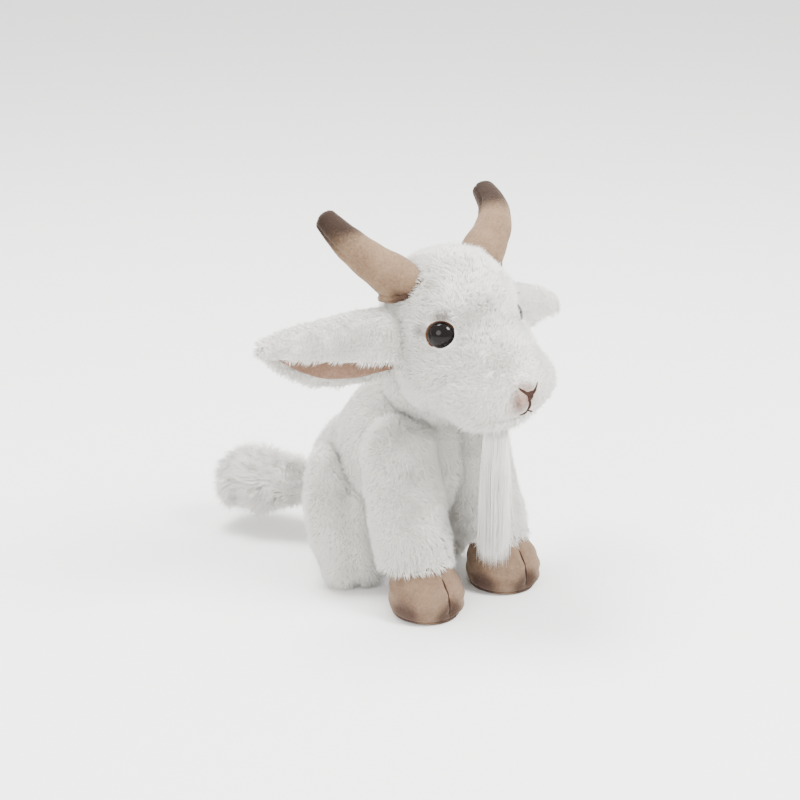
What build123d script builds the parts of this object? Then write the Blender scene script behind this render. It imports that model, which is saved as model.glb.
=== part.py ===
from build123d import *
import os

os.makedirs("parts", exist_ok=True)

# A small sitting plush goat. It faces -Y, its own left side is +X, and it sits on the floor at z = 0.
# Outer sizes are taken over the pile. All lengths are in millimetres.
sides = {"right": -1, "left": 1}

# cloth
plush = 4.2  # backing cloth and pile together
velour = 1.6
felt = 1.6
gap = 0.4  # between pieces that move against each other

# torso, two round forms and the neck they carry
rumpCentre = (0, 0, 37)
rumpRadius = 36.5
rumpHalfHeight = 42
chestCentre = (0, -16, 60)
chestRadius = 34
chestHalfHeight = 37
neckCentre = (0, -33, 98)
neckRadius = 21
seatThick = 4.5
bellyHalfWidth = 12
bellyBack = -10

# head, four round forms that run into each other
skullCentre = (0, -45, 129)
skullRadius = 31
skullHalfHeight = 33
jawCentre = (0, -51, 110.5)
jawRadius = 29
jawHalfHeight = 24.5
bridgeCentre = (0, -63, 118)
bridgeRadius = 21
bridgeHalfWidth = 27
muzzleCentre = (0, -76.5, 106)
muzzleRadius = 18
muzzleHalfWidth = 31
gussetHalfWidth = 12
gussetBottom = 101
chinHalfWidth = 17
chinBack = -62

# safety eyes
eyeAcross = 21.0
eyeForward = -62.75
eyeUp = 130.0
eyeDirection = (0.764, -0.645, 0.08)
eyeRadius = 7.0
domeHeight = 4.6
irisThick = 1.0
stemRadius = 1.6
stemLength = 12.0
washerRadius = 6.0
washerThick = 1.6

# nose and mouth embroidery
noseUp = 108.5
noseHalfWidth = 5.2
noseDepth = 4.2
threadThick = 1.4

# beard
beardTop = (0, -75, 90)
beardRadius = 4.6
beardLength = 62

# ears, a leaf folded along its upper edge
earRoot = {"right": (30.5, -38, 124), "left": (30.5, -38, 123)}
earTilt = {"right": 6.0, "left": -7.0}
earSweep = {"right": 14.0, "left": 16.0}
earLength = 58.0
earTop = 14.0
earRidge = [(-8, 14), (20, 13.2), (42, 9.5), (54, 4)]
earTip = [(58, -3), (56.5, -8)]
earFrontEdge = [(45, -11.5), (20, -13), (-8, -13)]
earBackEdge = [(46, -19), (28, -29), (10, -28), (-8, -21)]
earFoldRadius = 7.5
earPlush = 2.8
earLining = 1.4
earRootRadius = 7.5

# horns
hornPath = {
    "right": [(-24, -38, 149), (-33.5, -32, 158), (-41, -23.5, 167), (-45, -13, 176)],
    "left": [(24, -38, 150), (36, -33, 159.5), (44.5, -24.5, 167), (48.5, -12, 173.5)],
}
hornRadii = [10.5, 8.4, 6.8, 4.6]

# front legs, a fleecy sleeve over a velour hoof
shoulder = (23.5, -44, 66)
sleeveFoot = (23.5, -49, 21)
sleeveRadius = 18.5
hoofLevels = [0.0, 5.0, 12.0, 19.0, 27.0]
hoofCentres = [-57.0, -57.0, -56.5, -54.0, -50.0]
hoofRadii = [12.6, 15.6, 16.0, 13.4, 9.5]

# hind legs, a thigh and a folded foot, sewn to the body along a flat inner side
thighCentre = (34, -6, 31)
thighRadius = 14.0
thighHalfHeight = 36.0
thighLean = -14.0
footCentre = (27.5, -17, 25.5)
footRadius = 11.0
footHalfHeight = 27.0
footLean = -8.0
hindInside = 21.0
hipHinge = (0, -4, 36)
hipBackSwing = 12

# tail, a broad flat tuft that leans to the goat's right
tailPath = [(-4, 36.5, 27), (-14, 53, 26.5), (-22, 67, 25), (-28, 77, 24)]
tailRadii = [7.5, 12.0, 13.5, 8.5]
tailRoom = 2.9


def roundForm(centre, radius, half, lean=0.0, across=False):
    with BuildPart() as form:
        Sphere(1)
        scale(by=(half, radius, radius) if across else (radius, radius, half))
    return form.part.moved(Location(centre, (lean, 0, 0)))


# a bent round bar with a ball at its root and a blunt tip
def pipeForm(path, radii, shrink=0.0):
    middle = [Vector(p) for p in path]
    with BuildPart() as form:
        for i, centre in enumerate(middle):
            ahead = middle[min(i + 1, len(middle) - 1)]
            behind = middle[max(i - 1, 0)]
            with BuildSketch(Plane(origin=centre, z_dir=ahead - behind)):
                Circle(radii[i] - shrink)
        loft()
        tip = form.edges().sort_by_distance(middle[-1] + (middle[-1] - middle[-2]).normalized())[0]
        fillet(tip, radius=(radii[-1] - shrink) * 0.8)
        with Locations(middle[0]):
            Sphere(radii[0] - shrink + 0.3)
    return form.part


def capsule(top, bottom, radius):
    start = Vector(top)
    end = Vector(bottom)
    with BuildPart() as form:
        with BuildSketch(Plane(origin=start, z_dir=end - start)):
            Circle(radius)
        extrude(amount=(end - start).length)
        with Locations(start):
            Sphere(radius)
    return form.part


def block(low, high):
    with BuildPart() as form:
        with Locations([tuple((a + b) / 2 for a, b in zip(low, high))]):
            Box(*[b - a for a, b in zip(low, high)])
    return form.part


def ball(centre, radius):
    with BuildPart() as form:
        with Locations(centre):
            Sphere(radius)
    return form.part


def disc(origin, direction, radius, start, end):
    with BuildPart() as form:
        with BuildSketch(Plane(origin=Vector(origin) + Vector(direction).normalized() * start, z_dir=direction)):
            Circle(radius)
        extrude(amount=end - start)
    return form.part


def carved(form, tools):
    for tool in tools:
        form = form - tool
    return form


def save(part, name):
    part.label = name
    export_step(part, f"parts/{name}.step")


def onSide(point, side):
    return (point[0] * side, point[1], point[2])


big = 400.0

# ---- shapes that several pieces share
seamSlack = 0.013
otherHalf = {
    1: block((-big, -big, -big), (seamSlack, big, big)),
    -1: block((-seamSlack, -big, -big), (big, big, big)),
}
neckCut = ball(neckCentre, neckRadius + gap)
neckDeepCut = ball(neckCentre, neckRadius + gap + plush)


def legCut(side, extra):
    return capsule(onSide(shoulder, side), onSide(sleeveFoot[:2] + (-30,), side), sleeveRadius + extra)


def legCut(side, extra):
    lean = (sleeveFoot[1] - shoulder[1]) / (sleeveFoot[2] - shoulder[2])
    low = (shoulder[0] * side, shoulder[1] + lean * (-30 - shoulder[2]), -30)
    return capsule(onSide(shoulder, side), low, sleeveRadius + extra)


def hindForm(side, shrink):
    thigh = roundForm(onSide(thighCentre, side), thighRadius - shrink, thighHalfHeight - shrink, thighLean)
    foot = roundForm(onSide(footCentre, side), footRadius - shrink, footHalfHeight - shrink, footLean)
    inner = hindInside + shrink
    keep = block((inner, -big, shrink), (big, big, big)) if side > 0 else block((-big, -big, shrink), (-inner, big, big))
    with BuildPart() as form:
        add(thigh)
        add(foot)
        add(keep, mode=Mode.INTERSECT)
    return form.part


# room for a hind leg over its whole swing
def hindCut(side, extra):
    with BuildPart() as room:
        with BuildSketch(Plane.YZ.offset(side * (hindInside - extra))):
            for angle in range(0, hipBackSwing + 1, 4):
                for centre, radius, half, lean in (
                    (thighCentre, thighRadius, thighHalfHeight, thighLean),
                    (footCentre, footRadius, footHalfHeight, footLean),
                ):
                    arm = Vector(centre[1] - hipHinge[1], centre[2] - hipHinge[2]).rotate(Axis.Z, angle)
                    at = (hipHinge[1] + arm.X, hipHinge[2] + arm.Y)
                    with Locations(Location((at[0], at[1], 0), (0, 0, lean + angle))):
                        Ellipse(radius + extra, half + extra)
        extrude(amount=side * 60)
    return room.part


def torsoForm(shrink):
    with BuildPart() as form:
        add(roundForm(rumpCentre, rumpRadius - shrink, rumpHalfHeight - shrink))
        add(roundForm(chestCentre, chestRadius - shrink, chestHalfHeight - shrink))
        add(block((-big, -big, seatThick if shrink else 0), (big, big, big)), mode=Mode.INTERSECT)
    return form.part


def headForm(shrink):
    with BuildPart() as form:
        add(roundForm(skullCentre, skullRadius - shrink, skullHalfHeight - shrink))
        add(roundForm(jawCentre, jawRadius - shrink, jawHalfHeight - shrink))
        add(roundForm(bridgeCentre, bridgeRadius - shrink, bridgeHalfWidth - shrink, across=True))
        add(roundForm(muzzleCentre, muzzleRadius - shrink, muzzleHalfWidth - shrink, across=True))
    return form.part


# ---- torso
torsoRoom = []
torsoDeepRoom = []
for side in sides.values():
    torsoRoom += [legCut(side, gap), hindCut(side, gap)]
    torsoDeepRoom += [legCut(side, gap + plush - 0.8), hindCut(side, gap + plush - 0.8)]
torsoRoom += [neckCut, ball(tailPath[0], tailRadii[0] + tailRoom)]
torsoDeepRoom += [neckDeepCut, ball(tailPath[0], tailRadii[0] + tailRoom + plush)]

with BuildPart() as bodyStuffing:
    add(carved(torsoForm(plush), torsoDeepRoom + [block((-7, -big, 0), (7, -36, big))]))
save(bodyStuffing.part, "body_stuffing")

with BuildPart() as torsoSkin:
    add(carved(torsoForm(0), torsoRoom + [bodyStuffing.part]))

seatBlock = block((-big, -big, -1), (big, big, seatThick))
bellyBlock = block((-bellyHalfWidth, -big, seatThick), (bellyHalfWidth, bellyBack, big))

with BuildPart() as seatPanel:
    add(torsoSkin.part)
    add(seatBlock, mode=Mode.INTERSECT)
save(seatPanel.part, "seat_panel")

with BuildPart() as bellyPanel:
    add(torsoSkin.part)
    add(bellyBlock, mode=Mode.INTERSECT)
save(bellyPanel.part, "belly_panel")

for sideName, side in sides.items():
    with BuildPart() as bodyPanel:
        add(carved(torsoSkin.part, [seatBlock, bellyBlock, otherHalf[side]]))
    save(bodyPanel.part, f"body_{sideName}_panel")

# ---- neck
with BuildPart() as neckStuffing:
    with Locations(neckCentre):
        Sphere(neckRadius - plush)
save(neckStuffing.part, "neck_stuffing")

with BuildPart() as neckPanel:
    with Locations(neckCentre):
        Sphere(neckRadius)
        Sphere(neckRadius - plush, mode=Mode.SUBTRACT)
save(neckPanel.part, "neck_panel")

# ---- eyes: dome and iris outside the cloth, ribbed stem through it, washer inside
eyeHoles = []
for sideName, side in sides.items():
    seat = onSide((eyeAcross, eyeForward, eyeUp), side)
    facing = onSide(eyeDirection, side)
    iris = disc(seat, facing, eyeRadius, 0, irisThick)
    stem = disc(seat, facing, stemRadius, -stemLength, 0)
    sphereRadius = (eyeRadius**2 + domeHeight**2) / (2 * domeHeight)
    domeMiddle = Vector(seat) + Vector(facing).normalized() * (irisThick + domeHeight - sphereRadius)
    with BuildPart() as eyeDome:
        with Locations(domeMiddle):
            Sphere(sphereRadius)
        add(disc(seat, facing, eyeRadius + 5, irisThick, 30), mode=Mode.INTERSECT)
    save(eyeDome.part, f"eye_{sideName}_dome")
    with BuildPart() as eyeIris:
        add(iris)
    save(eyeIris.part, f"eye_{sideName}_iris")
    with BuildPart() as eyeStem:
        add(stem)
    save(eyeStem.part, f"eye_{sideName}_stem")
    with BuildPart() as eyeWasher:
        add(disc(seat, facing, washerRadius, -stemLength + 2, -stemLength + 2 + washerThick))
        add(stem, mode=Mode.SUBTRACT)
    save(eyeWasher.part, f"eye_{sideName}_washer")
    eyeHoles += [disc(seat, facing, eyeRadius + 0.3, 0, 30), stem]
    eyeHoles.append(disc(seat, facing, washerRadius, -stemLength + 2, -stemLength + 2 + washerThick))

# ---- nose and mouth embroidery, sunk a little into the muzzle
muzzleFront = muzzleCentre[1] - muzzleRadius
with BuildPart() as noseStitching:
    with BuildSketch(Plane(origin=(0, muzzleFront - 0.4, noseUp), x_dir=(1, 0, 0), z_dir=(0, 1, 0))):
        with BuildLine():
            Polyline(
                (-noseHalfWidth, -noseDepth / 2),
                (noseHalfWidth, -noseDepth / 2),
                (0, noseDepth / 2),
                close=True,
            )
        make_face()
    extrude(amount=threadThick + 1)
save(noseStitching.part, "nose_stitching")

with BuildPart() as mouthStitching:
    with BuildSketch(Plane(origin=(0, muzzleFront - 0.3, noseUp), x_dir=(1, 0, 0), z_dir=(0, 1, 0))):
        with Locations((0, 5.2)):
            Rectangle(1.0, 5.6)
        with Locations((0, 8.4)):
            Rectangle(9.0, 1.0)
    extrude(amount=threadThick + 1.6)
    add(noseStitching.part, mode=Mode.SUBTRACT)
save(mouthStitching.part, "mouth_stitching")

# ---- beard, hanging free from the chin
with BuildPart() as beard:
    with BuildSketch(Plane.XY.offset(beardTop[2] - 3)):
        with Locations(beardTop[:2]):
            Circle(beardRadius)
    with BuildSketch(Plane.XY.offset(beardTop[2] - 34)):
        with Locations((beardTop[0], beardTop[1])):
            Ellipse(beardRadius + 1.2, beardRadius + 1.6)
    with BuildSketch(Plane.XY.offset(beardTop[2] - beardLength)):
        with Locations((beardTop[0], beardTop[1])):
            Ellipse(2.4, 3.0)
    loft()
    with Locations((beardTop[0], beardTop[1], beardTop[2] - 3)):
        Sphere(beardRadius)
save(beard.part, "beard")
beardCut = ball((beardTop[0], beardTop[1], beardTop[2] - 3), beardRadius + gap)


# ---- ears, made lying along +X with the front towards -Y, then set at the side of the head
def earFold(outer, inner):
    middle = earTop - earFoldRadius
    with BuildPart() as fold:
        with BuildSketch(Plane.YZ.offset(-earRootRadius)):
            with Locations((0, middle)):
                Circle(outer)
            with Locations((0, middle - 25)):
                Rectangle(2 * outer, 50)
            with Locations((0, middle)):
                Circle(inner, mode=Mode.SUBTRACT)
            with Locations((0, middle - 26)):
                Rectangle(2 * inner, 52, mode=Mode.SUBTRACT)
        extrude(amount=earLength + earRootRadius + 5)
        add(earLeaf, mode=Mode.INTERSECT)
    return fold.part


with BuildPart() as earOutline:
    for lowerEdge, depth in ((earFrontEdge, 12), (earBackEdge, -12)):
        with BuildSketch(Plane.XZ):
            with BuildLine():
                Polyline(*earRidge, *earTip, *lowerEdge, close=True)
            make_face()
        extrude(amount=depth)
earLeaf = earOutline.part

with BuildPart() as earRootRoom:
    Cylinder(earRootRadius, 90)
    with Locations((100, 0, 0)):
        Box(200, 90, 90)

earPieces = {
    "plush": earFold(earFoldRadius, earFoldRadius - earPlush),
    "lining": earFold(earFoldRadius - earPlush, earFoldRadius - earPlush - earLining),
}
for sideName, side in sides.items():
    for pieceName, piece in earPieces.items():
        with BuildPart() as earPiece:
            add(piece.rotate(Axis.Y, -earTilt[sideName]))
            add(earRootRoom.part, mode=Mode.INTERSECT)
        placed = earPiece.part.rotate(Axis.Z, earSweep[sideName]).moved(Location(earRoot[sideName]))
        save(placed if side > 0 else mirror(placed, about=Plane.YZ), f"ear_{sideName}_{pieceName}")


# ---- horns
hornCuts = []
for sideName, side in sides.items():
    path = hornPath[sideName]
    outer = pipeForm(path, hornRadii)
    inner = pipeForm(path, hornRadii, velour)
    along = Vector(path[-1]) - Vector(path[0])
    seam = Plane(origin=path[0], z_dir=along.cross(Vector(-along.Y, along.X, 0)))
    for half, keep in (("front", Keep.TOP), ("back", Keep.BOTTOM)):
        with BuildPart() as hornPanel:
            add(outer)
            add(inner, mode=Mode.SUBTRACT)
            split(bisect_by=seam, keep=keep)
        save(hornPanel.part, f"horn_{sideName}_{half}_panel")
    with BuildPart() as hornStuffing:
        add(inner)
    save(hornStuffing.part, f"horn_{sideName}_stuffing")
    hornCuts.append(ball(path[0], hornRadii[0] + gap))

# ---- head
earGrooves = []
for sideName, side in sides.items():
    root = earRoot[sideName]
    with BuildPart() as groove:
        with Locations((root[0] * side, root[1], root[2] - 6)):
            Cylinder(earRootRadius + gap, 48)
    earGrooves.append(groove.part)

headRoom = [neckCut, beardCut] + hornCuts + earGrooves

with BuildPart() as headStuffing:
    hornPockets = [ball(path[0], hornRadii[0] + gap + 2) for path in hornPath.values()]
    add(carved(headForm(plush), [neckDeepCut] + hornPockets + earGrooves + eyeHoles))
save(headStuffing.part, "head_stuffing")

with BuildPart() as headSkin:
    add(carved(headForm(0), [headForm(plush)] + headRoom + eyeHoles + [noseStitching.part, mouthStitching.part]))

gussetBlock = block((-gussetHalfWidth, -big, gussetBottom), (gussetHalfWidth, big, big))
chinBlock = block((-chinHalfWidth, -big, -big), (chinHalfWidth, chinBack, gussetBottom))

with BuildPart() as headGusset:
    add(headSkin.part)
    add(gussetBlock, mode=Mode.INTERSECT)
save(headGusset.part, "head_gusset_panel")

with BuildPart() as chinPanel:
    add(headSkin.part)
    add(chinBlock, mode=Mode.INTERSECT)
save(chinPanel.part, "chin_panel")

for sideName, side in sides.items():
    with BuildPart() as headPanel:
        add(carved(headSkin.part, [gussetBlock, chinBlock, otherHalf[side]]))
    save(headPanel.part, f"head_{sideName}_panel")


# ---- front legs
def hoofForm(side, shrink):
    with BuildPart() as form:
        for level, forward, radius in zip(hoofLevels, hoofCentres, hoofRadii):
            with BuildSketch(Plane(origin=(shoulder[0] * side, forward, level))):
                Circle(radius - shrink)
        loft()
    return form.part


for sideName, side in sides.items():
    hem = sleeveFoot[2]
    aboveHem = block((-big, -big, hem), (big, big, big))
    hoofOuter = hoofForm(side, 0)
    hoofInner = hoofForm(side, velour)
    middle = shoulder[0] * side
    with BuildPart() as legStuffing:
        add(legCut(side, -plush))
        add(aboveHem, mode=Mode.INTERSECT)
        add(hoofOuter, mode=Mode.SUBTRACT)
        add(hoofInner)
        add(block((-big, -big, -1), (big, big, felt)), mode=Mode.SUBTRACT)
    save(legStuffing.part, f"front_leg_{sideName}_stuffing")
    with BuildPart() as hoofSole:
        add(hoofOuter)
        add(block((-big, -big, -1), (big, big, felt)), mode=Mode.INTERSECT)
    save(hoofSole.part, f"hoof_{sideName}_sole")
    with BuildPart() as cleft:
        add(block((middle - 0.6, -90, 3), (middle + 0.6, -60, 18)))
        add(hoofOuter, mode=Mode.INTERSECT)
        add(hoofForm(side, 0.9), mode=Mode.SUBTRACT)
    save(cleft.part, f"hoof_{sideName}_cleft_stitch")
    with BuildPart() as hoofUpper:
        add(carved(hoofOuter, [hoofSole.part, hoofInner, cleft.part]))
    save(hoofUpper.part, f"hoof_{sideName}_upper")
    for half, keep in (("inner", Keep.BOTTOM), ("outer", Keep.TOP)):
        if side < 0:
            keep = Keep.TOP if keep == Keep.BOTTOM else Keep.BOTTOM
        with BuildPart() as sleeve:
            add(legCut(side, 0))
            add(aboveHem, mode=Mode.INTERSECT)
            add(legCut(side, -plush), mode=Mode.SUBTRACT)
            add(hoofOuter, mode=Mode.SUBTRACT)
            split(bisect_by=Plane.YZ.offset(middle), keep=keep)
        save(sleeve.part, f"front_leg_{sideName}_{half}_panel")

# ---- hind legs
for sideName, side in sides.items():
    with BuildPart() as hindStuffing:
        add(hindForm(side, plush))
    save(hindStuffing.part, f"hind_leg_{sideName}_stuffing")
    inseam = hindInside + plush
    with BuildPart() as inseamPanel:
        add(hindForm(side, 0))
        add(hindStuffing.part, mode=Mode.SUBTRACT)
        split(bisect_by=Plane.YZ.offset(side * inseam), keep=Keep.BOTTOM if side > 0 else Keep.TOP)
    save(inseamPanel.part, f"hind_leg_{sideName}_inseam_panel")
    seam = Plane(origin=(0, -14, 20), x_dir=(1, 0, 0), z_dir=(0, -0.98, 0.17))
    for pieceName, keep in (("thigh", Keep.BOTTOM), ("foot", Keep.TOP)):
        with BuildPart() as hindPanel:
            add(carved(hindForm(side, 0), [hindStuffing.part, inseamPanel.part]))
            split(bisect_by=seam, keep=keep)
        save(hindPanel.part, f"hind_leg_{sideName}_{pieceName}_panel")

# ---- tail
tailOuter = pipeForm(tailPath, tailRadii)
tailInner = pipeForm(tailPath, tailRadii, plush)
with BuildPart() as tailStuffing:
    add(tailInner)
save(tailStuffing.part, "tail_stuffing")
for half, keep in (("top", Keep.TOP), ("under", Keep.BOTTOM)):
    with BuildPart() as tailPanel:
        add(tailOuter)
        add(tailInner, mode=Mode.SUBTRACT)
        split(bisect_by=Plane.XY.offset(tailPath[1][2]), keep=keep)
    save(tailPanel.part, f"tail_{half}_panel")
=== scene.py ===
import bpy
import math
import numpy as np
from mathutils import Matrix, Vector


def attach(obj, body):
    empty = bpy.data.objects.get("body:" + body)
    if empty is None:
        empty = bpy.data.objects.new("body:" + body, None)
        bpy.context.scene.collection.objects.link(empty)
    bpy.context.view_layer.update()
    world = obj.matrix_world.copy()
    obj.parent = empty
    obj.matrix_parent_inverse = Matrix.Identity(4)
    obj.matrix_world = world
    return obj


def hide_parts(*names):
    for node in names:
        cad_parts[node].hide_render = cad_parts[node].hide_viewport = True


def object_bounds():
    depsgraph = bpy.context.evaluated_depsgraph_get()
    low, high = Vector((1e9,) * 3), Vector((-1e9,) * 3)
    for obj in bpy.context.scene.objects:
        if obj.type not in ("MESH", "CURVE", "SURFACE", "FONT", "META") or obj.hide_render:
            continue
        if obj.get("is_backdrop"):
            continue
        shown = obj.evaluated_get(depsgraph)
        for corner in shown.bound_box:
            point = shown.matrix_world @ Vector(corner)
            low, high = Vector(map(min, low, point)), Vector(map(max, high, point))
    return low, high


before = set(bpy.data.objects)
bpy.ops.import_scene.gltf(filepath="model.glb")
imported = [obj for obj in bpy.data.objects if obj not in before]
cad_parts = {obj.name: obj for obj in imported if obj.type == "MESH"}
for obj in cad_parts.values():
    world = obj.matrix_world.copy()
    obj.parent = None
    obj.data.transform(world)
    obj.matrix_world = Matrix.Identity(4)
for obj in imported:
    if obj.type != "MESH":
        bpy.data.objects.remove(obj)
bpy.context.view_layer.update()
bpy.ops.object.select_all(action="DESELECT")
mm = 0.001
scene = bpy.context.scene
nodeNames = sorted(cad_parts)
sides = {"right": -1, "left": 1}


# small helpers
def active(obj):
    bpy.ops.object.select_all(action="DESELECT")
    obj.select_set(True)
    bpy.context.view_layer.objects.active = obj


def applyModifier(obj, kind, **settings):
    active(obj)
    mod = obj.modifiers.new(kind.lower(), kind)
    for key, value in settings.items():
        setattr(mod, key, value)
    bpy.ops.object.modifier_apply(modifier=mod.name)


def coords(obj):
    co = np.empty(len(obj.data.vertices) * 3)
    obj.data.vertices.foreach_get("co", co)
    return co.reshape(-1, 3)


def setCoords(obj, co):
    obj.data.vertices.foreach_set("co", np.ascontiguousarray(co).ravel())
    obj.data.update()


def meshFrom(name, verts, faces):
    mesh = bpy.data.meshes.new(name)
    mesh.from_pydata([tuple(v) for v in verts], [], faces)
    mesh.update()
    obj = bpy.data.objects.new(name, mesh)
    scene.collection.objects.link(obj)
    return obj


def smoothShade(obj):
    obj.data.shade_smooth()
    return obj


def roundForms(name, forms, voxel=1.1, smoothing=6):
    made = []
    for form in forms:
        bpy.ops.mesh.primitive_uv_sphere_add(segments=64, ring_count=40, radius=1)
        ball = bpy.context.object
        size = np.array(form["size"]) * mm
        turn = Matrix.Rotation(math.radians(form.get("lean", 0)), 3, "X")
        setCoords(ball, (coords(ball) * size) @ np.array(turn).T + np.array(form["at"]) * mm)
        made.append(ball)
    bpy.ops.object.select_all(action="DESELECT")
    for ball in made:
        ball.select_set(True)
    bpy.context.view_layer.objects.active = made[0]
    bpy.ops.object.join()
    skin = bpy.context.object
    skin.name = name
    skin.data.name = name
    applyModifier(skin, "REMESH", mode="VOXEL", voxel_size=voxel * mm)
    applyModifier(skin, "SMOOTH", factor=0.6, iterations=smoothing)
    return smoothShade(skin)


def tube(name, points, radii, sides=16):
    points = [Vector(p) * mm for p in points]
    verts, faces = [], []
    up = Vector((0, 0, 1))
    last = len(points) - 1
    for i, p in enumerate(points):
        along = (points[min(i + 1, last)] - points[max(i - 1, 0)]).normalized()
        across = along.cross(up if abs(along.dot(up)) < 0.95 else Vector((1, 0, 0))).normalized()
        other = across.cross(along).normalized()
        for k in range(sides):
            a = 2 * math.pi * k / sides
            verts.append(p + (across * math.cos(a) + other * math.sin(a)) * radii[i] * mm)
    for i in range(last):
        for k in range(sides):
            a, b = i * sides + k, i * sides + (k + 1) % sides
            faces.append((a, a + sides, b + sides, b))
    faces.append(tuple(range(sides)))
    faces.append(tuple(reversed(range(last * sides, (last + 1) * sides))))
    return smoothShade(meshFrom(name, verts, faces))


# colours and materials
def linear(code):
    out = []
    for i in (0, 2, 4):
        c = int(code[i:i + 2], 16) / 255
        out.append(c / 12.92 if c <= 0.04045 else ((c + 0.055) / 1.055) ** 2.4)
    return (*out, 1.0)


def addNode(tree, kind, settings=None, links=None):
    node = tree.nodes.new(kind)
    for key, value in (settings or {}).items():
        if isinstance(key, int) or key in node.inputs:
            node.inputs[key].default_value = value
        else:
            setattr(node, key, value)
    for socket, source in (links or {}).items():
        tree.links.new(source, node.inputs[socket])
    return node


def newMaterial(name):
    mat = bpy.data.materials.new(name)
    mat.use_nodes = True
    mat.node_tree.nodes.clear()
    out = mat.node_tree.nodes.new("ShaderNodeOutputMaterial")
    return mat, mat.node_tree, out


def spotMask(tree, centre, radius, soft):
    where = addNode(tree, "ShaderNodeTexCoord")
    gap = addNode(tree, "ShaderNodeVectorMath", {"operation": "DISTANCE"}, {0: where.outputs["Object"]})
    gap.inputs[1].default_value = [c * mm for c in centre]
    fade = {
        "From Min": radius * mm,
        "From Max": (radius + soft) * mm,
        "To Min": 1.0,
        "To Max": 0.0,
        "interpolation_type": "SMOOTHSTEP",
    }
    mask = addNode(tree, "ShaderNodeMapRange", fade)
    tree.links.new(gap.outputs["Value"], mask.inputs["Value"])
    return mask.outputs["Result"]


# acrylic pile: bright, slightly warm fibres that let some light through
def pileMaterial(name, root, tip, spots=()):
    mat, tree, out = newMaterial(name)
    place = addNode(tree, "ShaderNodeTexCoord")
    where = {"Vector": place.outputs["Object"]}
    tufts = addNode(tree, "ShaderNodeTexNoise", {"Scale": 160.0, "Detail": 3.0}, where)
    colour = addNode(tree, "ShaderNodeMix", {"data_type": "RGBA"}, {"Factor": tufts.outputs["Fac"]})
    colour.inputs[6].default_value = linear(root)
    colour.inputs[7].default_value = linear(tip)
    result = colour.outputs[2]
    for spot in spots:
        tint = addNode(tree, "ShaderNodeMix", {"data_type": "RGBA"}, {})
        mask = spotMask(tree, spot["at"], spot["radius"], spot["soft"])
        strength = addNode(tree, "ShaderNodeMath", {"operation": "MULTIPLY"}, {0: mask})
        strength.inputs[1].default_value = spot.get("strength", 1.0)
        tree.links.new(strength.outputs[0], tint.inputs["Factor"])
        tree.links.new(result, tint.inputs[6])
        tint.inputs[7].default_value = linear(spot["colour"])
        result = tint.outputs[2]
    finish = {"Roughness": 0.75, "Specular IOR Level": 0.25, "Sheen Weight": 0.25, "Sheen Roughness": 0.5}
    surface = addNode(tree, "ShaderNodeBsdfPrincipled", finish, {"Base Color": result})
    through = addNode(tree, "ShaderNodeBsdfTranslucent", {}, {"Color": result})
    both = addNode(tree, "ShaderNodeMixShader", {0: 0.28}, {1: surface.outputs[0], 2: through.outputs[0]})
    tree.links.new(both.outputs[0], out.inputs["Surface"])
    return mat


# short-nap velour, darker in places: sprayed spots, and painted shade at the horn bases
def velourMaterial(name, light, dark, spots=(), mottle=90.0):
    mat, tree, out = newMaterial(name)
    place = addNode(tree, "ShaderNodeTexCoord")
    where = {"Vector": place.outputs["Object"]}
    patches = addNode(tree, "ShaderNodeTexNoise", {"Scale": mottle, "Detail": 6.0, "Roughness": 0.65}, where)
    fine = addNode(tree, "ShaderNodeTexNoise", {"Scale": 900.0, "Detail": 3.0, "Roughness": 0.7}, where)
    both = {0: fine.outputs["Fac"], 2: patches.outputs["Fac"]}
    blotch = addNode(tree, "ShaderNodeMath", {"operation": "MULTIPLY_ADD"}, both)
    blotch.inputs[1].default_value = 0.9
    contrast = {"From Min": 0.72, "From Max": 1.18}
    spread = addNode(tree, "ShaderNodeMapRange", contrast, {"Value": blotch.outputs[0]})
    base = addNode(tree, "ShaderNodeMix", {"data_type": "RGBA"}, {"Factor": spread.outputs["Result"]})
    base.inputs[6].default_value = linear(light)
    base.inputs[7].default_value = linear(dark)
    result = base.outputs[2]
    for spot in spots:
        mask = spotMask(tree, spot["at"], spot["radius"], spot["soft"])
        uneven = addNode(tree, "ShaderNodeMath", {"operation": "MULTIPLY_ADD"}, {0: fine.outputs["Fac"]})
        uneven.inputs[1].default_value = 0.5
        uneven.inputs[2].default_value = -0.25
        adding = {"operation": "ADD", "use_clamp": True}
        total = addNode(tree, "ShaderNodeMath", adding, {0: mask, 1: uneven.outputs[0]})
        strength = addNode(tree, "ShaderNodeMath", {"operation": "MULTIPLY"}, {0: total.outputs[0], 1: mask})
        tint = addNode(tree, "ShaderNodeMix", {"data_type": "RGBA"}, {"Factor": strength.outputs[0]})
        tree.links.new(result, tint.inputs[6])
        tint.inputs[7].default_value = linear(spot["colour"])
        result = tint.outputs[2]
    nap = {"Strength": 0.8, "Distance": 0.0005}
    bump = addNode(tree, "ShaderNodeBump", nap, {"Height": fine.outputs["Fac"]})
    finish = {"Roughness": 0.85, "Specular IOR Level": 0.2, "Sheen Weight": 0.22, "Sheen Roughness": 0.4}
    shown = {"Base Color": result, "Normal": bump.outputs[0]}
    surface = addNode(tree, "ShaderNodeBsdfPrincipled", finish, shown)
    surface.inputs["Sheen Tint"].default_value = linear("D9C8B8")
    tree.links.new(surface.outputs[0], out.inputs["Surface"])
    return mat


def plainMaterial(name, colour, **settings):
    mat, tree, out = newMaterial(name)
    surface = addNode(tree, "ShaderNodeBsdfPrincipled", settings)
    surface.inputs["Base Color"].default_value = linear(colour)
    tree.links.new(surface.outputs[0], out.inputs["Surface"])
    return mat


# pile, every fibre a small closed spindle
rng = np.random.default_rng(7)


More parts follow.
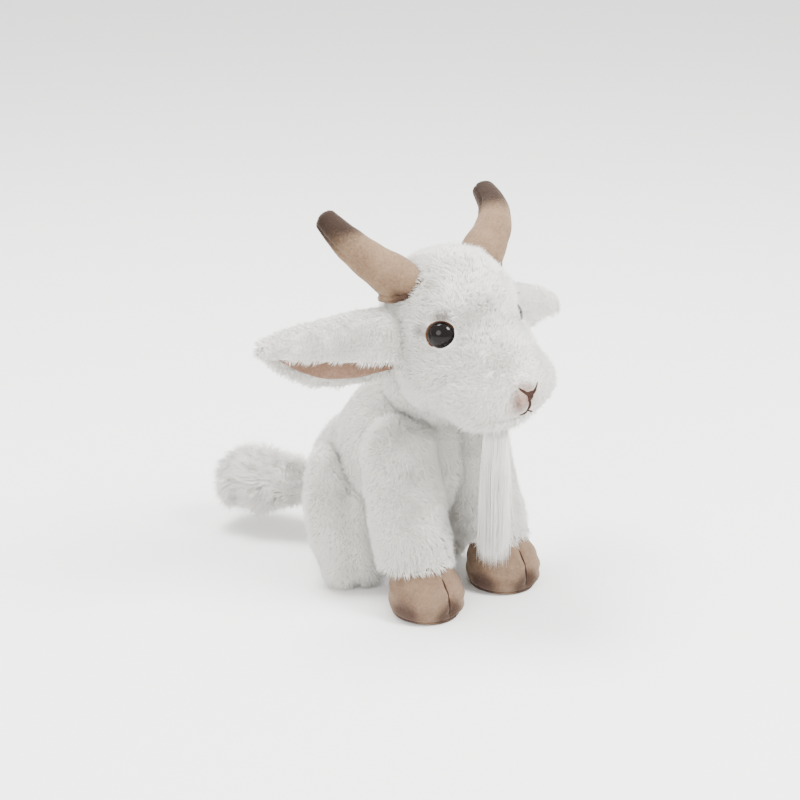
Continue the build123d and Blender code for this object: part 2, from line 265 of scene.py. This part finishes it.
def waves(p, scale, seed):
    r = np.random.default_rng(seed)
    out = np.zeros_like(p)
    for _ in range(5):
        k = r.normal(size=(3, 3)) / scale
        out += np.sin(p @ k + r.uniform(0, 6.28, 3))
    return out / 2.2


def inside(p, forms, grow=0.0):
    hit = np.zeros(len(p), bool)
    for form in forms:
        turn = np.array(Matrix.Rotation(math.radians(form.get("lean", 0)), 3, "X"))
        d = (p / mm - np.array(form["at"])) @ turn
        hit |= ((d / (np.array(form["size"]) + grow)) ** 2).sum(1) < 1
    return hit


def samples(obj, density, keep):
    mesh = obj.data
    mesh.calc_loop_triangles()
    tri = np.empty(len(mesh.loop_triangles) * 3, int)
    mesh.loop_triangles.foreach_get("vertices", tri)
    tri = tri.reshape(-1, 3)
    co = coords(obj)
    nor = np.empty(len(mesh.vertices) * 3)
    mesh.vertices.foreach_get("normal", nor)
    nor = nor.reshape(-1, 3)
    a, b, c = co[tri[:, 0]], co[tri[:, 1]], co[tri[:, 2]]
    area = np.linalg.norm(np.cross(b - a, c - a), axis=1) / 2 * 1e6
    count = int(area.sum() * density)
    pick = rng.choice(len(tri), count, p=area / area.sum())
    u, v = rng.random((2, count))
    flip = u + v > 1
    u[flip], v[flip] = 1 - u[flip], 1 - v[flip]
    w = 1 - u - v
    t = tri[pick]
    p = co[t[:, 0]] * w[:, None] + co[t[:, 1]] * u[:, None] + co[t[:, 2]] * v[:, None]
    n = nor[t[:, 0]] * w[:, None] + nor[t[:, 1]] * u[:, None] + nor[t[:, 2]] * v[:, None]
    n /= np.linalg.norm(n, axis=1)[:, None]
    good = keep(p, n) if keep else np.ones(len(p), bool)
    return p[good], n[good]


def unit(v):
    return v / np.maximum(np.linalg.norm(v, axis=1), 1e-9)[:, None]


def pile(
    name, skins, density, length, comb, lean=0.7, width=0.3, keep=None,
    clump=0.45, wild=0.3, droop=0.25, most=32000, lock=2.2, pull=0.5,
):
    got = [samples(s, density, keep) for s in (skins if isinstance(skins, list) else [skins])]
    p = np.concatenate([g[0] for g in got])
    n = np.concatenate([g[1] for g in got])
    flow = comb(p, n)
    flow = flow - n * (flow * n).sum(1)[:, None]
    tufts = waves(p / mm, 2.6, 3) * clump + waves(p / mm, 9.0, 4) * 0.3
    tufts -= n * (tufts * n).sum(1)[:, None]
    loose = rng.normal(size=p.shape) * wild
    direction = unit(n + flow * lean + tufts + loose)
    size = length(p) if callable(length) else np.full(len(p), float(length))
    size = size * (0.75 + 0.35 * rng.random(len(p))) * mm
    mid = p + direction * (size * 0.5)[:, None]
    tip = mid + unit(direction + flow * 0.5 + np.array([0, 0, -droop]) + tufts * 0.6) * (size * 0.5)[:, None]
    cell = (np.round(p / mm / lock + waves(p / mm, 7.0, 5) * 0.3) * lock) * mm - p
    cell -= n * (cell * n).sum(1)[:, None]
    mid = mid + cell * pull * 0.35
    tip = tip + cell * pull
    root = p - n * 0.6 * mm
    side = unit(np.cross(direction, rng.normal(size=p.shape)))
    other = np.cross(direction, side)
    half = width / 2 * mm * (0.7 + 0.6 * rng.random(len(p)))[:, None]
    belly = mid * 0.6 + p * 0.4
    ring = [belly + (side * math.cos(a) + other * math.sin(a)) * half for a in (0, 2.094, 4.189)]
    for part in (mid, tip, *ring):
        part[:, 2] = np.maximum(part[:, 2], 0.0002)
    order = np.argsort(p[:, 0])
    strands = np.stack([root, *ring, tip], 1)[order]
    parts = max(1, math.ceil(len(p) / most))
    print(name, len(p), "fibres in", parts)
    names = [f"{name}{i + 1}" if parts > 1 else name for i in range(parts)]
    return [spindles(label, part) for label, part in zip(names, np.array_split(strands, parts))]


def spindles(name, strands):
    verts = strands.reshape(-1, 3)
    one = np.array([[0, 2, 1], [0, 3, 2], [0, 1, 3], [4, 1, 2], [4, 2, 3], [4, 3, 1]])
    faces = (one[None] + (np.arange(len(strands)) * 5)[:, None, None]).reshape(-1, 3)
    mesh = bpy.data.meshes.new(name)
    mesh.vertices.add(len(verts))
    mesh.vertices.foreach_set("co", verts.ravel())
    mesh.loops.add(faces.size)
    mesh.loops.foreach_set("vertex_index", faces.ravel().astype(np.int32))
    mesh.polygons.add(len(faces))
    mesh.polygons.foreach_set("loop_start", np.arange(0, faces.size, 3, dtype=np.int32))
    mesh.update(calc_edges=True)
    mesh.shade_smooth()
    obj = bpy.data.objects.new(name, mesh)
    scene.collection.objects.link(obj)
    return obj


def finishPiece(obj, body, mat, nodes=()):
    obj.data.materials.clear()
    obj.data.materials.append(mat)
    if nodes:
        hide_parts(*nodes)
    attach(obj, body)
    return obj


def nodesOf(*starts):
    return [n for n in nodeNames if n.startswith(starts)]


# forms, in millimetres, a pile's depth inside the outer surface
def shrink(forms, by):
    return [{**f, "size": tuple(s - by for s in f["size"])} for f in forms]


white = pileMaterial("whitePile", "F4F1EA", "FFFEFA")
noseTintAndEyeShade = (
    {"at": (0, -95, 104), "radius": 3.5, "soft": 8, "colour": "9A6A52", "strength": 0.8},
    # the brown spot at the nose is the muzzle's own colour; the grey spots above and behind each eye are
    # painted shade in the dimple round the eye and the crease towards the ear
    {"at": (-20, -62, 137), "radius": 1.5, "soft": 4.5, "colour": "6E5A50", "strength": 0.6},
    {"at": (20, -62, 137), "radius": 1.5, "soft": 4.5, "colour": "6E5A50", "strength": 0.6},
    {"at": (-27, -56, 131), "radius": 1.0, "soft": 4.0, "colour": "6E5A50", "strength": 0.5},
    {"at": (27, -56, 131), "radius": 1.0, "soft": 4.0, "colour": "6E5A50", "strength": 0.5},
)
whiteFace = pileMaterial("facePile", "F4F1EA", "FFFEFA", noseTintAndEyeShade)
beardMat = pileMaterial("beardHair", "F6F3EC", "FFFFFF")
liningMat = velourMaterial("earLining", "8C705D", "705646")

torsoForms = [
    {"at": (0, 0, 37), "size": (36.5, 36.5, 42)},
    {"at": (0, -16, 60), "size": (34, 34, 37)},
]
neckForms = [{"at": (0, -33, 98), "size": (21, 21, 21)}]
cheekForm = {"at": (0, -64, 113), "size": (29.5, 25, 22)}
headForms = [
    {"at": (0, -45, 129), "size": (31, 31, 33)},
    {"at": (0, -51, 110.5), "size": (29, 29, 24.5)},
    {"at": (0, -63, 118), "size": (27, 21, 21)},
    {"at": (0, -76.5, 106), "size": (31, 18, 18)},
]


def side3(point, side):
    return (point[0] * sides[side], point[1], point[2])


def hindForms(side):
    return [
        {"at": side3((34, -6, 31), side), "size": (14, 14, 36), "lean": -14},
        {"at": side3((27.5, -17, 25.5), side), "size": (11, 11, 27), "lean": -8},
    ]


def legForms(side):
    top, foot = Vector(side3((21, -35, 68), side)), Vector(side3((23.5, -49, 21), side))
    steps = 9
    return [{"at": tuple(top.lerp(foot, i / steps)), "size": (18.5, 18.5, 18.5)} for i in range(steps + 1)]


def deepIn(forms, by):
    return lambda p: inside(p, forms, -by)


def flatBottom(obj, low):
    co = coords(obj)
    co[:, 2] = np.maximum(co[:, 2], low * mm)
    setCoords(obj, co)


hidden = {
    "torso": deepIn(hindForms("right") + hindForms("left") + neckForms, 6.0),
    "head": deepIn(neckForms, 4.0),
    "leg": deepIn(torsoForms, 5.0),
    "hind": deepIn(torsoForms, 6.0),
}


# torso and neck
def down(p, n):
    return np.tile([0.0, 0.1, -1.0], (len(p), 1))


torso = roundForms("torsoSkin", shrink(torsoForms, 3.4))
flatBottom(torso, 1.2)
finishPiece(torso, "torso", white, nodesOf("body_", "belly_", "seat_"))
keepTorso = lambda p, n: (n[:, 2] > -0.75) & ~hidden["torso"](p)
for part in pile("torsoPile", torso, 3.6, 4.6, down, keep=keepTorso):
    finishPiece(part, "torso", white)

neck = roundForms("neckSkin", shrink(neckForms, 2.2))
finishPiece(neck, "neck", white, nodesOf("neck_"))
for part in pile("neckPile", neck, 3.6, 5.2, down, keep=lambda p, n: ~inside(p, headForms, -9)):
    finishPiece(part, "neck", white)
print("torso and neck")

# head
eye = {"at": Vector((21, -62.75, 130)), "out": Vector((0.764, -0.645, 0.08)).normalized()}
noseAt = np.array([0.0, -94.5, 106.0])


def muzzleY(x, z, rise=0.0):
    return -76.5 - (18 + rise) * math.sqrt(max(0.02, 1 - (x / 31) ** 2 - ((z - 106) / 18) ** 2))


def headKeep(p, n):
    q = p / mm
    good = np.ones(len(p), bool)
    for side, sign in sides.items():
        centre = np.array(eye["at"]) * (sign, 1, 1)
        good &= np.linalg.norm(q - centre, axis=1) > 6.2
    bare = ((q[:, 0] / 2.0) ** 2 + ((q[:, 2] - 105.0) / 3.6) ** 2 < 1) & (q[:, 1] < -85)
    return good & ~bare & ~hidden["head"](p)


def headComb(p, n):
    flow = unit(p / mm - noseAt) + np.array([0, 0, -0.35])
    for sign in (-1, 1):
        away = p / mm - np.array(eye["at"]) * (sign, 1, 1)
        near = np.clip((12 - np.linalg.norm(away, axis=1)) / 5, 0, 1)[:, None]
        flow = flow * (1 - near) + unit(away) * 1.3 * near
    return flow


def headLength(p):
    q = p / mm
    fromNose = np.linalg.norm(q - noseAt, axis=1)
    nearEye = np.minimum(*[np.linalg.norm(q - np.array(eye["at"]) * (s, 1, 1), axis=1) for s in (-1, 1)])
    size = np.interp(fromNose, [4, 7, 14, 34], [1.1, 1.7, 3.0, 4.6])
    outer = np.abs(q[:, 0]) > 19.5
    short = np.minimum(size, np.interp(nearEye, [6.2, 11], [2.6, 4.6]))
    full = np.maximum(size, np.interp(nearEye, [6.2, 12], [4.4, 0.0]))
    size = np.where(outer, short, full)
    chin = (q[:, 2] < 96) & (q[:, 1] < -62)
    return np.where(chin, 6.6, size)


head = roundForms("headSkin", shrink(headForms + [cheekForm], 2.6), smoothing=60)
finishPiece(head, "head", whiteFace, nodesOf("head_", "chin_"))
for part in pile("headPile", head, 4.2, headLength, headComb, lean=0.8, keep=headKeep):
    finishPiece(part, "head", whiteFace)
print("head")

# eyes: a brown disc with a glossy black dome on it
eyeBlack = plainMaterial("eyeBlack", "0B0706", **{"Roughness": 0.09, "Specular IOR Level": 0.16})
eyeBrown = plainMaterial("eyeBrown", "4A2C1B", **{"Roughness": 0.35, "Specular IOR Level": 0.15})
for side, sign in sides.items():
    out = Vector((eye["out"].x * sign, eye["out"].y, eye["out"].z))
    base = Vector(side3(eye["at"], side))
    turn = out.to_track_quat("Z", "Y").to_matrix()
    for kind, radius, height, low, mat, slotName in (
        ("iris", 7.0, 1.8, -0.5, eyeBrown, "iris_plastic"),
        ("dome", 6.0, 4.6, -0.3, eyeBlack, "eye_plastic"),
    ):
        bpy.ops.object.select_all(action="DESELECT")
        bpy.ops.mesh.primitive_uv_sphere_add(segments=64, ring_count=32, radius=1)
        ball = bpy.context.object
        ball.name = ball.data.name = f"{side}Eye{kind.title()}"
        co = coords(ball)
        co[:, 2] = np.maximum(co[:, 2], -0.12)
        co = co * np.array([radius, radius, height]) * mm + np.array([0, 0, low]) * mm
        setCoords(ball, co @ np.array(turn).T + np.array(base) * mm)
        smoothShade(ball)
        finishPiece(ball, "head", mat, [f"eye_{side}_{kind}"])
print("eyes")

# nose and mouth, rows of satin stitches
thread = plainMaterial("thread", "2E1B12", **{"Roughness": 0.7, "Specular IOR Level": 0.2})


def stitchRun(lines, radius=0.42):
    made = []
    for a, b in lines:
        steps = 7
        pts = []
        for i in range(steps):
            t = i / (steps - 1)
            x, z = a[0] + (b[0] - a[0]) * t, a[1] + (b[1] - a[1]) * t
            pts.append((x, muzzleY(x, z, 0.5 + 0.8 * math.sin(math.pi * t)), z))
        radii = [radius * (0.55 + 0.45 * math.sin(math.pi * i / (steps - 1))) for i in range(steps)]
        made.append(tube("stitch", pts, radii, 8))
    bpy.ops.object.select_all(action="DESELECT")
    for m in made:
        m.select_set(True)
    bpy.context.view_layer.objects.active = made[0]
    bpy.ops.object.join()
    return bpy.context.object


arms = [
    ((sign * (5.6 - i * 0.25), 111.2 - i * 0.35), (sign * 0.5, 107.6 - i * 0.45))
    for sign in (-1, 1)
    for i in range(4)
]
middle = [((-1.9 + i * 0.42, 108.6), (-0.5 + i * 0.11, 104.4)) for i in range(10)]
nose = stitchRun(arms + middle, 0.34)
nose.name = nose.data.name = "noseStitches"
finishPiece(nose, "head", thread, ["nose_stitching"])
mouthLines = [
    ((-0.3, 105.2), (-0.3, 99.9)),
    ((0.3, 105.2), (0.3, 99.9)),
    ((0.2, 100.0), (-3.8, 98.3)),
    ((-0.2, 100.0), (3.8, 98.3)),
]
mouth = stitchRun(mouthLines, 0.4)
mouth.name = mouth.data.name = "mouthStitches"
finishPiece(mouth, "head", thread, ["mouth_stitching"])
print("nose and mouth")

# ears, a leaf folded over along its upper edge, plush outside and lined inside
ear = {
    "root": {"right": (30.5, -38, 124), "left": (30.5, -38, 123)},
    "tilt": {"right": 6.0, "left": -7.0},
    "sweep": {"right": 14.0, "left": 16.0},
    "ridge": ((-8, 13), (8, 12.5), (20, 11), (42, 6.5), (54, 2.5), (58, 0)),
    "front": ((-8, -8), (8, -7.5), (20, -7), (42, -5.5), (52, -5), (58, -4)),
    "back": ((-8, -19), (10, -22), (26, -22), (40, -17), (50, -11), (58, -5)),
    "radius": 7.0,
}


def along(points, s):
    return np.interp(s, [q[0] for q in points], [q[1] for q in points])


def smoothAlong(points, s):
    return sum(along(points, np.clip(s + d, -8, 58)) for d in (-4, -2, 0, 2, 4)) / 5


def earPlace(side, q):
    sign = sides[side]
    tilt, sweep = math.radians(ear["tilt"][side]), math.radians(ear["sweep"][side])
    q = np.asarray(q, float)
    x = q[:, 0] * math.cos(tilt) - q[:, 2] * math.sin(tilt)
    z = q[:, 0] * math.sin(tilt) + q[:, 2] * math.cos(tilt)
    px = x * math.cos(sweep) - q[:, 1] * math.sin(sweep)
    py = x * math.sin(sweep) + q[:, 1] * math.cos(sweep)
    root = np.array(ear["root"][side])
    return np.stack([px, py, z], 1) * (sign, 1, 1) + root * (sign, 1, 1)


def earSheet(name, side, grow, edge, curl=0.0, band=None):
    nS, nT = 60, 56
    grid = []
    for s in np.linspace(-8, 58 - edge, nS):
        top = smoothAlong(ear["ridge"], s) + grow
        f, b = smoothAlong(ear["front"], s) + edge, smoothAlong(ear["back"], s) + edge * 4
        near = max(0.0, 1 - max(0.0, (s - 38) / 21) ** 2)
        r = (ear["radius"] * (0.35 + 0.65 * near)) + grow
        arcTop = top - r
        f, b = min(f, arcTop - 0.3), min(b, arcTop - 0.3)
        lenF, lenA, lenB = arcTop - f, math.pi * r, arcTop - b
        row = []
        full = lenF + lenA + lenB
        for t in np.linspace(full - band if band else 0, full, nT):
            if t < lenF:
                y, z = -r, f + t
            elif t < lenF + lenA:
                a = (t - lenF) / r
                y, z = -r * math.cos(a), arcTop + r * math.sin(a)
            else:
                y, z = r, arcTop - (t - lenF - lenA)
            droop = max(0.0, (arcTop - z) / 25)
            y += -0.8 * math.sin(s / 7.0) * droop + (1.6 if y > 0 else -0.5) * droop ** 2 * (1 - curl)
            y *= 1 + 0.12 * math.sin(s / 11 + 1)
            row.append((s, y, z))
        grid.append(row)
    flat = np.array(grid).reshape(-1, 3)
    verts = earPlace(side, flat) * mm
    faces = []
    for i in range(nS - 1):
        for j in range(nT - 1):
            a = i * nT + j
            q = (a, a + 1, a + nT + 1, a + nT)
            faces.append(q if side == "left" else q[::-1])
    return smoothShade(meshFrom(name, verts, faces))


def outwardFrom(obj, point):
    mesh = obj.data
    total = 0.0
    for poly in mesh.polygons:
        total += poly.normal.dot(poly.center - Vector(point(np.array(poly.center)))) * poly.area
    if total < 0:
        mesh.flip_normals()


for side, sign in sides.items():
    shell = earSheet(f"{side}EarPlush", side, 0.0, 0.0)
    axisPoint = lambda c, side=side: earPlace(side, [[20.0, 0.0, 2.0]])[0] * mm
    outwardFrom(shell, axisPoint)
    outer = shell.copy()
    outer.data = shell.data.copy()
    scene.collection.objects.link(outer)
    applyModifier(shell, "SOLIDIFY", thickness=1.5 * mm, offset=-1)
    finishPiece(shell, f"ear_{side}", white, [f"ear_{side}_plush"])
    tipAt = earPlace(side, [[64.0, 0.0, -14.0]])[0] * mm
    flow = unit(tipAt[None] - earPlace(side, [[-8.0, 0.0, 6.0]]) * mm)[0]
    strip = earSheet(f"{side}EarEdge", side, -1.6, 0.0, 0.0, 5.0)
    outwardFrom(strip, axisPoint)
    strip.data.flip_normals()
    toTip = lambda p, n: np.tile(flow + (0, 0, -0.25), (len(p), 1))
    outsideHead = lambda p, n: ~inside(p, headForms, -5)
    for part in pile(f"{side}EarPile", [outer, strip], 4.4, 3.6, toTip, lean=1.1, keep=outsideHead):
        finishPiece(part, f"ear_{side}", white)
    bpy.data.objects.remove(outer)
    bpy.data.objects.remove(strip)
    lining = earSheet(f"{side}EarLining", side, -1.8, 1.0, 1.0)
    outwardFrom(lining, axisPoint)
    applyModifier(lining, "SOLIDIFY", thickness=0.9 * mm, offset=-1)
    finishPiece(lining, f"ear_{side}", liningMat, [f"ear_{side}_lining"])
print("ears")

# horns, two velour halves stuffed and sprayed dark at the tip, with painted shade at the base where they meet
# the head
horn = {
    "right": ((-22, -39, 144), (-24, -38, 149), (-33.5, -32, 158), (-41, -23.5, 167), (-45, -13, 176)),
    "left": ((22, -39, 145), (24, -38, 150), (36, -33, 159.5), (44.5, -24.5, 167), (48.5, -12, 173.5)),
    "radii": (10.6, 10.5, 8.4, 6.8, 4.8),
}


def bendLine(points, count):
    points = [np.array(p, float) for p in points]
    pad = [2 * points[0] - points[1], *points, 2 * points[-1] - points[-2]]
    out = []
    for u in np.linspace(0, len(points) - 1, count):
        i = min(int(u), len(points) - 2)
        t = u - i
        a, b, c, d = pad[i:i + 4]
        square = 2 * a - 5 * b + 4 * c - d
        cube = 3 * b - a - 3 * c + d
        out.append(0.5 * (2 * b + (c - a) * t + square * t ** 2 + cube * t ** 3))
    return np.array(out)


for side, sign in sides.items():
    path = bendLine(horn[side], 60)
    u = np.linspace(0, 4, 60)
    radii = np.interp(u, range(5), horn["radii"])
    radii = np.convolve(np.pad(radii, 4, mode="edge"), np.ones(9) / 9, "valid")
    radii = radii * np.sqrt(np.clip(1 - np.clip((u - 3.82) / 0.2, 0, 0.985) ** 2, 0, 1))
    radii = radii * (1 + 0.012 * np.sin(u * 9 + 1) * (u < 3.4))
    body = tube(f"{side}HornVelour", [tuple(q) for q in path], list(radii), 56)
    co = coords(body).reshape(60, 56, 3)
    angle = np.arange(56) * 2 * math.pi / 56
    seams = (0.46, 3.60) if side == "right" else (2.68, 5.82)
    groove = sum(np.exp(-(np.angle(np.exp(1j * (angle - seam))) / 0.13) ** 2) for seam in seams)
    centre = path[:, None] * mm
    co = centre + (co - centre) * (1 - 0.12 * groove[None, :, None])
    lobes = 1 + 0.05 * np.cos(angle * 5 + 0.6)[None, :, None] * np.clip(1 - u / 0.9, 0, 1)[:, None, None]
    co = centre + (co - centre) * lobes
    setCoords(body, co.reshape(-1, 3))
    creases = waves(co.reshape(-1, 3) / mm, 5.0, 11)
    setCoords(body, co.reshape(-1, 3) + creases * 0.22 * mm)
    tip, bend, base = horn[side][-1], horn[side][3], horn[side][0]
    above = (bend[0], bend[1] + 2, bend[2] + 6)
    mat = velourMaterial(f"{side}HornVelour", "7E6852", "654F3D", (
        {"at": tip, "radius": 6.0, "soft": 17, "colour": "1E120C"},
        {"at": above, "radius": 5.0, "soft": 13, "colour": "261810"},
        # painted shade at the front of the base, where the horn meets the head
        {"at": (base[0] * 1.25, base[1] - 7, base[2] - 1), "radius": 2.0, "soft": 9, "colour": "3A281D"},
    ))
    finishPiece(body, f"horn_{side}", mat, nodesOf(f"horn_{side}_"))
print("horns")

# front legs and hooves
def hoofMesh(name, side, levels):
    nT = 96
    verts, faces = [], []
    for z, cy, r, cleft in levels:
        for k in range(nT):
            a = 2 * math.pi * k / nT
            front = abs(math.atan2(math.sin(a + math.pi / 2), math.cos(a + math.pi / 2)))
            rr = r * (1 - cleft * math.exp(-(front / 0.11) ** 2)) * (1 + 0.015 * math.sin(3 * a + z))
            verts.append(((23.5 * sides[side] + rr * math.cos(a)) * mm, (cy + rr * math.sin(a)) * mm, z * mm))
    rows = len(levels)
    for i in range(rows - 1):
        for k in range(nT):
            a, b = i * nT + k, i * nT + (k + 1) % nT
            faces.append((a, b, b + nT, a + nT))
    faces.append(tuple(reversed(range(nT))))
    faces.append(tuple(range((rows - 1) * nT, rows * nT)))
    return smoothShade(meshFrom(name, verts, faces))


# height, middle and radius of each hoof level
hoofLevels = np.array([
    (1.2, -57, 15.2), (3.5, -57, 16.6), (9, -57, 16.9), (14, -56.3, 16.0),
    (19, -54.5, 14.0), (24, -52.5, 12.0), (27, -51, 10.0),
])


def hoofAt(h, column):
    return float(np.interp(h, hoofLevels[:, 0], hoofLevels[:, column]))


for side, sign in sides.items():
    leg = roundForms(f"{side}FrontLegSkin", [{**f, "size": (15.2, 15.2, 15.2)} for f in legForms(side)])
    co = coords(leg)
    hem = 22.5 * mm
    co[:, 2] = np.maximum(co[:, 2], hem)
    setCoords(leg, co)
    finishPiece(leg, f"front_leg_{side}", white, nodesOf(f"front_leg_{side}_"))
    keepLeg = lambda p, n: (p[:, 2] > 22.6 * mm) & ~hidden["leg"](p)
    for part in pile(f"{side}FrontLegPile", leg, 3.9, 4.8, down, keep=keepLeg):
        finishPiece(part, f"front_leg_{side}", white)
    z = np.linspace(2.0, 27, 40)
    levels = [(float(h), hoofAt(h, 1), hoofAt(h, 2), 0.10 * float(np.clip((h - 2) / 3, 0, 1))) for h in z]
    levels = [(2.0, -57, 15.4, 0.0)] + levels[1:]
    upper = hoofMesh(f"{side}HoofVelour", side, levels)
    mat = velourMaterial(f"{side}HoofVelour", "78624F", "634F3F", (
        {"at": (23.5 * sign, -74, 3), "radius": 5, "soft": 8, "colour": "3A2A20"},
        {"at": (23.5 * sign - 14, -60, 4), "radius": 4, "soft": 8, "colour": "43322A"},
        {"at": (23.5 * sign + 14, -60, 12), "radius": 3, "soft": 8, "colour": "43322A"},
    ), 130.0)
    finishPiece(upper, f"front_leg_{side}", mat, [f"hoof_{side}_upper"])
    soleLevels = [(0.0, -57, 13.0, 0), (0.4, -57, 14.6, 0), (1.2, -57, 15.3, 0), (1.9, -57, 15.0, 0)]
    sole = hoofMesh(f"{side}HoofSole", side, soleLevels)
    finishPiece(sole, f"front_leg_{side}", mat, [f"hoof_{side}_sole"])
    run = []
    for i, h in enumerate(np.linspace(4.0, 19.0, 9)):
        r, cy = hoofAt(h, 2) * 0.90, hoofAt(h, 1)
        run.append((23.5 * sign, cy - r - 0.15, h))
    stitch = tube(f"{side}HoofCleft", run, [0.34 + 0.08 * (i % 2) for i in range(9)], 10)
    finishPiece(stitch, f"front_leg_{side}", thread, [f"hoof_{side}_cleft_stitch"])
print("front legs")

# hind legs
for side, sign in sides.items():
    hind = roundForms(f"{side}HindLegSkin", shrink(hindForms(side), 3.2))
    flatBottom(hind, 1.2)
    finishPiece(hind, f"hind_leg_{side}", white, nodesOf(f"hind_leg_{side}_"))
    keepHind = lambda p, n: (n[:, 2] > -0.8) & ~hidden["hind"](p)
    for part in pile(f"{side}HindLegPile", hind, 3.9, 4.8, down, keep=keepHind):
        finishPiece(part, f"hind_leg_{side}", white)
print("hind legs")

# tail, a shaggy fan
tailPath = bendLine(((-4, 36.5, 27), (-14, 53, 26.5), (-22, 67, 25), (-28, 77, 24)), 24)
tailRadii = np.interp(np.linspace(0, 3, 24), range(4), (5.5, 8.5, 11.5, 9.0))
tail = tube("tailSkin", [tuple(q) for q in tailPath], list(tailRadii), 32)
finishPiece(tail, "tail", white, nodesOf("tail_"))
tailFlow = unit((tailPath[-1] - tailPath[4])[None])[0]
tailLength = lambda p: np.interp(p[:, 1] / mm, [38, 74], [6.0, 11.0])
tailComb = lambda p, n: np.tile(tailFlow * 1.3 + (0, 0, -0.1), (len(p), 1))
shaggy = {"lean": 1.0, "clump": 1.5, "wild": 0.5, "width": 0.34, "lock": 5.0, "pull": 1.0}
for part in pile("tailPile", tail, 7.0, tailLength, tailComb, **shaggy):
    finishPiece(part, "tail", white)
print("tail")

# beard, long loose fibre gathered at the chin
beardCount, beardSteps = 2300, 9
r = np.random.default_rng(21)
verts, faces = [], []
for i in range(beardCount):
    a, q = r.uniform(0, 2 * math.pi), math.sqrt(r.uniform(0, 1))
    bx, by = q * math.cos(a), q * math.sin(a)
    size = r.uniform(0.72, 1.0) * (68 if r.random() > 0.2 else 48)
    lock = np.round(np.array([bx, by]) * 3.2 + r.normal(0, 0.12, 2)) / 3.2
    drift = r.normal(0, 0.5, 2)
    points = []
    for k in range(beardSteps):
        t = k / (beardSteps - 1)
        spread = np.interp(t, [0, 0.5, 1], [5.0, 6.4, 6.8])
        gather = np.interp(t, [0, 0.6, 1], [0, 0.25, 0.75])
        ox = (bx * (1 - gather) + lock[0] * gather) * spread + drift[0] * t * 1.2
        oy = (by * (1 - gather) + lock[1] * gather) * spread + drift[1] * t * 1.2
        wave = math.sin(t * 5 + lock[0] * 3) * 0.6 * t
        points.append(Vector((ox + wave, -75 + oy, 89 - size * t)))
    across = Vector((math.cos(a * 3), math.sin(a * 3), 0))
    third = len(verts)
    for k, pt in enumerate(points[:-1]):
        w = 0.12 * (1 - 0.6 * k / beardSteps)
        for j in range(3):
            aa = j * 2.094 + a
            verts.append((pt + Vector((math.cos(aa), math.sin(aa), 0)) * w) * mm)
    verts.append(points[-1] * mm)
    for k in range(beardSteps - 2):
        for j in range(3):
            p0, p1 = third + k * 3 + j, third + k * 3 + (j + 1) % 3
            faces.append((p0, p0 + 3, p1 + 3, p1))
    end = third + (beardSteps - 1) * 3
    for j in range(3):
        faces.append((end - 3 + j, end, end - 3 + (j + 1) % 3))
    faces.append((third, third + 1, third + 2))
beard = smoothShade(meshFrom("beardHair", verts, faces))
finishPiece(beard, "beard", beardMat, ["beard"])
print("beard")

# pale floor and backdrop, soft light, camera
bpy.ops.mesh.primitive_plane_add(size=6)
floor = bpy.context.object
floor.name = "studioFloor"
floor.data.materials.append(plainMaterial("paleFloor", "F3F2F0", **{"Roughness": 0.8}))
floor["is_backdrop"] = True
world = bpy.data.worlds.new("studio")
world.use_nodes = True
world.node_tree.nodes["Background"].inputs["Color"].default_value = linear("FFFFFF")
world.node_tree.nodes["Background"].inputs["Strength"].default_value = 1.9
scene.world = world


def softLight(name, at, size, power):
    light = bpy.data.lights.new(name, "AREA")
    light.shape = "DISK"
    light.size = size
    light.energy = power
    obj = bpy.data.objects.new(name, light)
    obj.location = at
    obj.rotation_euler = (Vector((0, 0, 0.09)) - Vector(at)).to_track_quat("-Z", "Y").to_euler()
    scene.collection.objects.link(obj)


softLight("keyLight", (0.35, -0.75, 0.95), 0.45, 30.0)
softLight("fillLight", (-0.95, -0.4, 0.5), 0.6, 7.0)
softLight("topLight", (-0.1, 0.3, 1.1), 0.5, 24.0)

camData = bpy.data.cameras.new("studioCamera")
camera = bpy.data.objects.new("studioCamera", camData)
scene.collection.objects.link(camera)
azimuth, elevation, far = math.radians(-41), math.radians(20), 0.9
flat = math.cos(elevation)
back = Vector((math.sin(azimuth) * flat, -math.cos(azimuth) * flat, math.sin(elevation)))
camera.location = Vector((0, -0.012, 0.082)) + back * far
camera.rotation_euler = (-back).to_track_quat("-Z", "Y").to_euler()
camData.lens = 89.1
camData.sensor_width = 36
camData.clip_start, camData.clip_end = 0.01, 20
scene.camera = camera

low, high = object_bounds()
print("size", [round(v * 1000, 1) for v in (*low, *high)])
